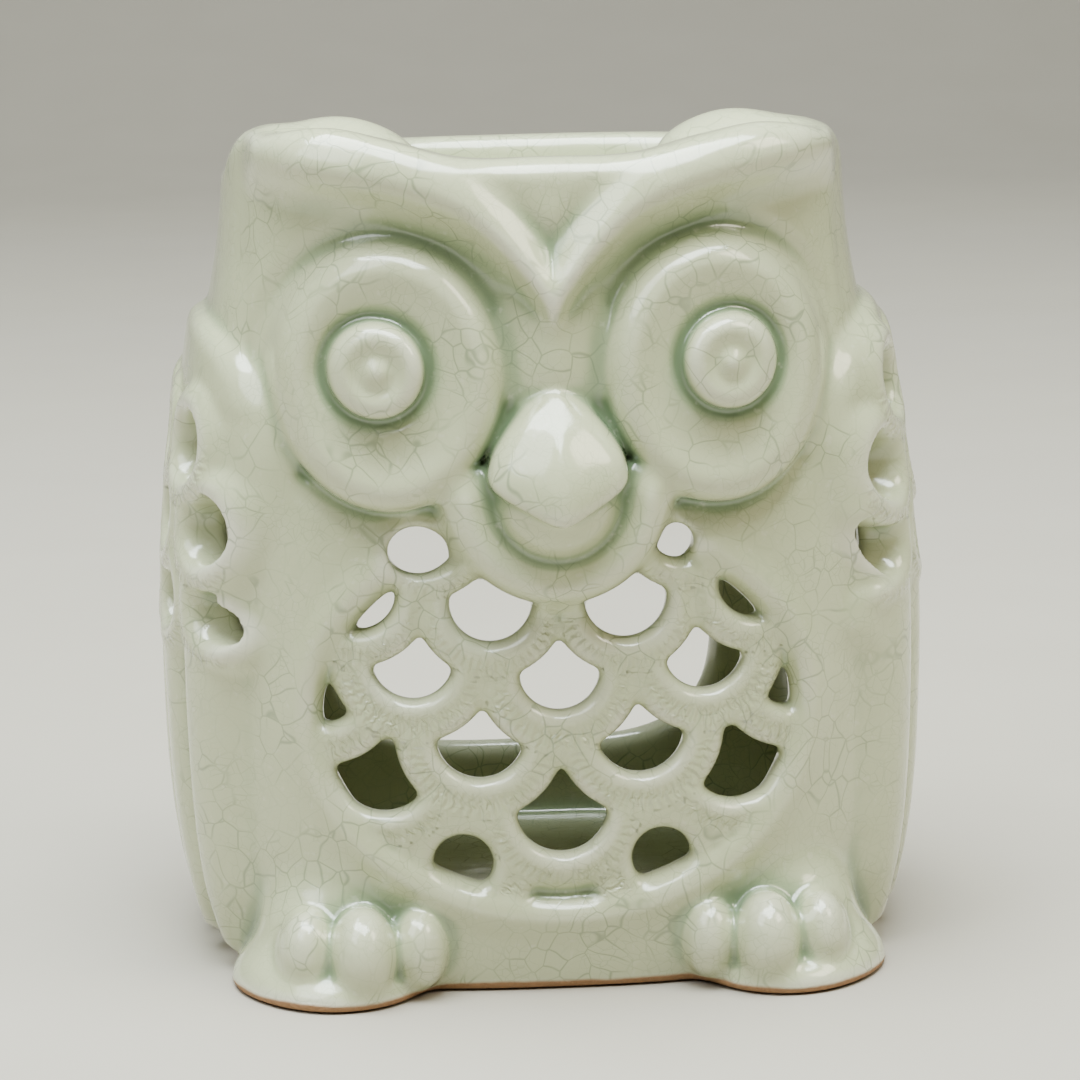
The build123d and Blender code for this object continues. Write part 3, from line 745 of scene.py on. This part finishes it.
def net_faces(label, ids):
    """Every quad of the net, with the label on its low side and the label on its high side."""
    quads, lows, highs = [], [], []
    for axis in range(3):
        u, v = (axis + 1) % 3, (axis + 2) % 3
        low = [slice(1, -1)] * 3
        high = [slice(1, -1)] * 3
        low[axis], high[axis] = slice(0, -1), slice(1, None)
        here, there = label[tuple(low)], label[tuple(high)]
        edges = np.argwhere(here != there)
        lows.append(here[tuple(edges.T)])
        highs.append(there[tuple(edges.T)])
        edges[:, u] += 1
        edges[:, v] += 1
        corners = []
        for du, dv in ((-1, -1), (0, -1), (0, 0), (-1, 0)):
            cell = edges.copy()
            cell[:, u] += du
            cell[:, v] += dv
            corners.append(ids[tuple(cell.T)])
        quads.append(np.stack(corners, axis=1))
    return np.concatenate(quads), np.concatenate(lows), np.concatenate(highs)


def surface_values(points):
    """Normals and the glaze's attributes at every point of the net."""
    gradients = np.gradient(grid["solid"])
    normal = np.stack([sample(g, points) for g in gradients], axis=1)
    normal /= np.maximum(np.linalg.norm(normal, axis=1), 1e-6)[:, None]
    values = {
        "crease": sample(grid["near_fill"], points),
        "hollow": sample(grid["far_fill"], points),
    }
    phase, ribs = rib_values(points)
    values["rib_phase"], values["ribs"] = phase, ribs
    return normal, values


def rib_values(points):
    """Phase and strength of the scratched ribs at every point of the net."""
    place = points * VOXEL + grid["low"]
    nearest = np.round(points).astype(int)
    phase = np.zeros(len(points), np.float32)
    ribs = np.zeros(len(points), np.float32)
    front = (place[:, 1] < RIBS_FRONT_Y) & (np.abs(place[:, 0]) < RIBS_SIDE_X)
    for here, key, columns in (
        (front, "belly_ribs", (0, 2)),
        (place[:, 0] < -RIBS_SIDE_X, "left_ribs", (1, 2)),
        (place[:, 0] > RIBS_SIDE_X, "right_ribs", (1, 2)),
    ):
        index = tuple(nearest[here][:, column] for column in columns)
        phase[here] = grid[key][0][index]
        ribs[here] = grid[key][1][index]
    return phase, ribs * fade(sample(grid["body"], points), *RIBS_DEPTH)


def make_piece(name, faces, points, normals, values):
    """One closed mesh object. faces holds the quads and the triangles."""
    corners = np.concatenate([shapes.ravel() for shapes in faces])
    starts = np.cumsum([0] + [shapes.shape[1] for shapes in faces for _ in shapes])[:-1]
    used, corners = np.unique(corners, return_inverse=True)
    mesh = bpy.data.meshes.new(name)
    mesh.vertices.add(len(used))
    places = (points[used] * VOXEL + grid["low"]) * MM
    mesh.vertices.foreach_set("co", places.astype(np.float32).ravel())
    mesh.loops.add(len(corners))
    mesh.loops.foreach_set("vertex_index", corners.ravel().astype(np.int32))
    mesh.polygons.add(len(starts))
    mesh.polygons.foreach_set("loop_start", starts.astype(np.int32))
    mesh.polygons.foreach_set("use_smooth", np.ones(len(starts), bool))
    mesh.update(calc_edges=True)
    for key, value in values.items():
        layer = mesh.attributes.new(key, "FLOAT", "POINT")
        layer.data.foreach_set("value", value[used].astype(np.float32))
    mesh.normals_split_custom_set_from_vertices(normals[used].tolist())
    piece = bpy.data.objects.new(name, mesh)
    bpy.context.collection.objects.link(piece)
    return piece


def settle(points, normals, inner):
    """Moves the net's outer points onto the surface, and its inner points safely below it."""
    for _ in range(2):
        off = sample(grid["solid"], points) / VOXEL
        target = np.where(inner, np.minimum(off, -SEAM_COVER), 0)
        move = np.clip(off - target, -0.8, 0.8)
        points = points - normals * move[:, None]
    return points


def sink_seams(points, normals, quads):
    """Splits seam quads that lie in the skin into four triangles round a point below the skin."""
    middles = points[quads].mean(axis=1) - SEAM_DEPTH * normals[quads].mean(axis=1)
    ids = len(points) + np.arange(len(quads))
    turns = [np.stack([quads[:, i], quads[:, (i + 1) % 4], ids], axis=1) for i in range(4)]
    return np.concatenate([points, middles]), np.stack(turns, axis=1).reshape(-1, 3)


def make_pieces():
    """Every visible piece of the owl, by the name of the CAD node that it stands for."""
    label = np.where(grid["solid"] < 0, grid["label"], 0)
    for axis in range(3):
        for end in (0, -1):
            edge = [slice(None)] * 3
            edge[axis] = end
            label[tuple(edge)] = 0
    ids, points, inner = net_points(label, grid["solid"])
    quads, lows, highs = net_faces(label, ids)
    normals, _ = surface_values(points)
    points = settle(points, normals, inner)
    near_skin = (lows > 0) & (highs > 0) & (np.sum(~inner[quads], axis=1) >= 3)
    points, fans = sink_seams(points, normals, quads[near_skin])
    normals, values = surface_values(points)
    made = {}
    for name in PIECES:
        own = number(name)
        faces = []
        for shapes, low, high in (
            (quads[~near_skin], lows[~near_skin], highs[~near_skin]),
            (fans, np.repeat(lows[near_skin], 4), np.repeat(highs[near_skin], 4)),
        ):
            faces.append(np.concatenate([shapes[low == own], shapes[high == own][:, ::-1]]))
        if len(faces[0]):
            made[name] = make_piece("glazed_" + name, faces, points, normals, values)
    return made


# ---------------------------------------------------------------- materials


class Nodes:
    """A short way to build a material's node tree."""

    def __init__(self, name):
        self.material = bpy.data.materials.new(name)
        self.material.use_nodes = True
        self.tree = self.material.node_tree
        self.surface = self.tree.nodes["Principled BSDF"]

    def add(self, kind, inputs=None, **settings):
        """A node with its settings and inputs. An input is a value or another node's socket."""
        node = self.tree.nodes.new(kind)
        for key, value in settings.items():
            setattr(node, key, value)
        for key, value in (inputs or {}).items():
            self.put(node.inputs[key], value)
        return node

    def put(self, socket, value):
        """Links or sets one input."""
        if isinstance(value, bpy.types.NodeSocket):
            self.tree.links.new(value, socket)
        else:
            socket.default_value = value

    def math(self, operation, a, b=0.0, c=0.0):
        """One step of arithmetic."""
        return self.add("ShaderNodeMath", {0: a, 1: b, 2: c}, operation=operation).outputs[0]

    def ramp(self, value, low, high, start=0.0, end=1.0):
        """value mapped from low..high to start..end, smooth and clamped."""
        inputs = {"Value": value, "From Min": low, "From Max": high, "To Min": start, "To Max": end}
        return self.add("ShaderNodeMapRange", inputs, interpolation_type="SMOOTHSTEP").outputs[0]

    def mix(self, share, a, b):
        """Colour a at share 0 and colour b at share 1."""
        node = self.add("ShaderNodeMix", data_type="RGBA")
        self.put(node.inputs["Factor"], share)
        for socket, value in ((node.inputs[6], a), (node.inputs[7], b)):
            self.put(socket, value if isinstance(value, bpy.types.NodeSocket) else (*value, 1))
        return node.outputs[2]

    def attribute(self, name):
        """A value that the mesh carries at each vertex."""
        return self.add("ShaderNodeAttribute", attribute_name=name).outputs["Fac"]

    def noise(self, scale, detail=3.0, distortion=0.0):
        """Noise in space, scale in features per metre."""
        inputs = {"Vector": self.place, "Scale": scale, "Detail": detail, "Distortion": distortion}
        return self.add("ShaderNodeTexNoise", inputs).outputs["Fac"]

    @property
    def place(self):
        """The point's place on the owl, in metres."""
        return self.add("ShaderNodeTexCoord").outputs["Object"]


def crackle(nodes):
    """Fine dark lines between cells of glaze: 1 on a line and 0 off it."""
    warp = nodes.add("ShaderNodeTexNoise", {"Vector": nodes.place, "Scale": 90.0, "Detail": 2.0})
    bend = {0: warp.outputs["Color"], 1: (0.006, 0.006, 0.006)}
    bent = nodes.add("ShaderNodeVectorMath", bend, operation="MULTIPLY").outputs[0]
    place = nodes.add("ShaderNodeVectorMath", {0: nodes.place, 1: bent}, operation="ADD").outputs[0]
    lines = None
    for scale, width in ((290.0, 0.050), (700.0, 0.046)):
        values = {"Vector": place, "Scale": scale}
        cells = nodes.add("ShaderNodeTexVoronoi", values, feature="DISTANCE_TO_EDGE")
        line = nodes.ramp(cells.outputs["Distance"], 0.0, width, 1.0, 0.0)
        patchy = nodes.ramp(nodes.noise(60.0 + scale / 8), 0.42, 0.62, 0.15, 0.9)
        line = nodes.math("MULTIPLY", line, patchy)
        if lines is None:
            lines = line
        else:
            lines = nodes.math("MAXIMUM", lines, nodes.math("MULTIPLY", line, 0.55))
    return lines


def glaze(name, pooled=0.0):
    """Crackled celadon over stoneware: pale on edges, green where it pools, bare clay at the foot."""
    nodes = Nodes(name)
    surface = nodes.surface
    crease, hollow = nodes.attribute("crease"), nodes.attribute("hollow")
    cloud = nodes.noise(38.0, 4.0, 0.6)
    sheltered = nodes.ramp(hollow, 0.46, 0.66, 0.0, 0.45)
    pooling = nodes.math("ADD", nodes.ramp(crease, 0.50, 0.72), sheltered)
    pooling = nodes.math("ADD", pooling, nodes.math("MULTIPLY_ADD", cloud, 0.5, pooled - 0.25))
    thin = nodes.ramp(crease, 0.46, 0.30)
    colour = nodes.mix(nodes.ramp(pooling, 0.05, 0.65), PALE, GREEN)
    colour = nodes.mix(nodes.ramp(pooling, 0.60, 1.35), colour, DEEP)
    speckle = nodes.noise(700.0, 2.0)
    colour = nodes.mix(nodes.ramp(speckle, 0.60, 0.78, 0.0, 0.22), colour, WORN)
    patchy = nodes.ramp(cloud, 0.3, 0.6, 0.45, 0.9)
    colour = nodes.mix(nodes.math("MULTIPLY", thin, patchy), colour, WORN)
    lines = crackle(nodes)
    colour = nodes.mix(nodes.math("MULTIPLY", lines, 0.62), colour, CRACK)
    height = nodes.add("ShaderNodeSeparateXYZ", {0: nodes.place}).outputs["Z"]
    edge = nodes.math("MULTIPLY_ADD", nodes.noise(120.0), 0.0012, height)
    bare = nodes.ramp(edge, CLAY_EDGE_Z * MM + 0.0004, CLAY_EDGE_Z * MM + 0.0010, 1.0, 0.0)
    grit = nodes.noise(1500.0, 4.0)
    clay = nodes.mix(grit, CLAY, tuple(0.55 * c for c in CLAY))
    nodes.put(surface.inputs["Base Color"], nodes.mix(bare, colour, clay))
    rough = nodes.math("MULTIPLY_ADD", nodes.noise(90.0), 0.16, 0.10)
    rough = nodes.math("MAXIMUM", rough, nodes.math("MULTIPLY", bare, 0.85))
    nodes.put(surface.inputs["Roughness"], rough)
    nodes.put(surface.inputs["Coat Weight"], nodes.math("MULTIPLY_ADD", bare, -0.6, 0.6))
    surface.inputs["Coat Roughness"].default_value = 0.06
    surface.inputs["IOR"].default_value = 1.52
    phase = nodes.math("MULTIPLY", nodes.attribute("rib_phase"), 2 * math.pi / RIB_PITCH)
    ribs = nodes.math("MULTIPLY", nodes.math("SINE", phase), nodes.attribute("ribs"))
    uneven = nodes.math("MULTIPLY", nodes.noise(110.0, 2.0), 0.35)
    relief = nodes.math("MULTIPLY_ADD", ribs, 0.14, uneven)
    relief = nodes.math("MULTIPLY_ADD", lines, -0.012, relief)
    relief = nodes.math("MULTIPLY_ADD", nodes.math("MULTIPLY", grit, bare), 0.4, relief)
    bump = nodes.add("ShaderNodeBump", {"Height": relief, "Distance": MM, "Strength": 0.8}).outputs[0]
    nodes.put(surface.inputs["Normal"], bump)
    nodes.put(surface.inputs["Coat Normal"], bump)
    return nodes.material


def floor_material():
    """A plain pale table top."""
    nodes = Nodes("pale_floor")
    nodes.put(nodes.surface.inputs["Base Color"], nodes.mix(nodes.noise(30.0), FLOOR_PALE, FLOOR_DARK))
    nodes.surface.inputs["Roughness"].default_value = 0.5
    return nodes.material


# ---------------------------------------------------------------- stage


def make_floor():
    """A pale floor that curves up far behind the owl."""
    profile = [(-1.2, 0.0), (1.0, 0.0)]
    for step in range(1, 13):
        turn = math.radians(90 * step / 12)
        profile.append((1.0 + 0.6 * math.sin(turn), 0.6 * (1 - math.cos(turn))))
    profile.append((1.6, 2.2))
    half = 2.4
    vertices = [(x, y, z) for y, z in profile for x in (-half, half)]
    faces = [(2 * i, 2 * i + 1, 2 * i + 3, 2 * i + 2) for i in range(len(profile) - 1)]
    mesh = bpy.data.meshes.new("floor")
    mesh.from_pydata(vertices, [], faces)
    mesh.shade_smooth()
    mesh.materials.append(floor_material())
    floor = bpy.data.objects.new("floor", mesh)
    bpy.context.collection.objects.link(floor)


def lamp(name, place, size, watts, colour):
    """A soft rectangular lamp that faces the owl."""
    data = bpy.data.lights.new(name, "AREA")
    data.shape = "RECTANGLE"
    data.size, data.size_y = size
    data.energy = watts
    data.color = colour
    light = bpy.data.objects.new(name, data)
    light.location = place
    aim = Vector((0, 0, 0.06)) - Vector(place)
    light.rotation_euler = aim.to_track_quat("-Z", "Y").to_euler()
    bpy.context.collection.objects.link(light)


def light_stage():
    """A wide cool light overhead, a window at the left, a warm lamp at the right and a warm fill."""
    lamp("window", (-0.50, -0.35, 0.75), (0.45, 0.55), 4.5, (0.93, 0.97, 1.0))
    lamp("lamp", (0.55, -0.25, 0.65), (0.3, 0.3), 3.0, (1.0, 0.90, 0.72))
    lamp("sky", (-0.05, -0.06, 1.0), (0.9, 0.7), 42.0, (0.90, 0.98, 0.99))
    world = bpy.data.worlds.new("studio")
    world.use_nodes = True
    world.node_tree.nodes["Background"].inputs["Color"].default_value = (0.95, 0.88, 0.68, 1)
    world.node_tree.nodes["Background"].inputs["Strength"].default_value = 0.17
    bpy.context.scene.world = world


def make_camera():
    """A long lens a little above the owl and a little to its right side."""
    data = bpy.data.cameras.new("camera")
    data.lens = CAMERA_LENS
    data.sensor_width = 36.0
    data.shift_x = 3 / 1080
    camera = bpy.data.objects.new("camera", data)
    place = Vector((math.sin(CAMERA_AZIMUTH), -math.cos(CAMERA_AZIMUTH), 0)) * CAMERA_DISTANCE
    place.z = CAMERA_HEIGHT
    turn = Matrix.Rotation(CAMERA_AZIMUTH, 4, "Z") @ Matrix.Rotation(math.pi / 2 - CAMERA_PITCH, 4, "X")
    camera.matrix_world = Matrix.Translation(place) @ turn @ Matrix.Rotation(CAMERA_ROLL, 4, "Z")
    bpy.context.collection.objects.link(camera)
    bpy.context.scene.camera = camera


# ---------------------------------------------------------------- the scene

sculpt()
celadon = glaze("celadon_glaze")
chamber_glaze = glaze("chamber_glaze", pooled=0.15)
bare_base = glaze("base_glaze_and_clay", pooled=0.1)
finishes = {"oil_basin": chamber_glaze, "base_slab": bare_base}
for node, piece in make_pieces().items():
    piece.data.materials.append(finishes.get(node, celadon))
    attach(piece, "root")
    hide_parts(node)
make_floor()
light_stage()
make_camera()
